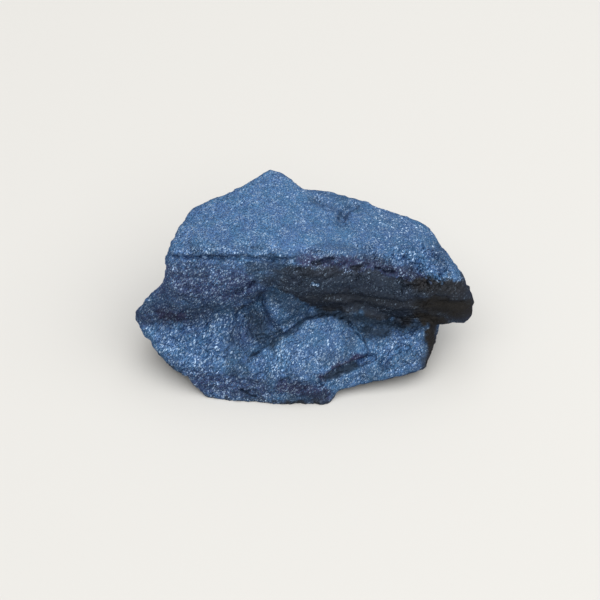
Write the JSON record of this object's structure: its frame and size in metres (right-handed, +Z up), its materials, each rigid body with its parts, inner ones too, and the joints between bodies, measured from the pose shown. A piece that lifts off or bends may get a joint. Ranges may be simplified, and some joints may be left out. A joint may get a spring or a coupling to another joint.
{
  "type": "hematite specimen",
  "caption": "Rough lump of glittering specular hematite: a thick slab with a broad level top, overhanging a stepped foot of sloping shelves, with a flat underside to rest on.",
  "frame": {"origin": "on the resting face, at the middle of the lump's box seen from above", "axes": "+X along the length, to the right as pictured; +Y to the back, away from the stepped front; +Z up"},
  "size_m": [0.075, 0.0434, 0.0312],
  "materials": {
    "specular_hematite": "rough broken crystalline ore, glittering blue-grey with a submetallic lustre"
  },
  "bodies": {
    "root": {"hematite_specimen": "specular_hematite"}
  },
  "joints": []
}
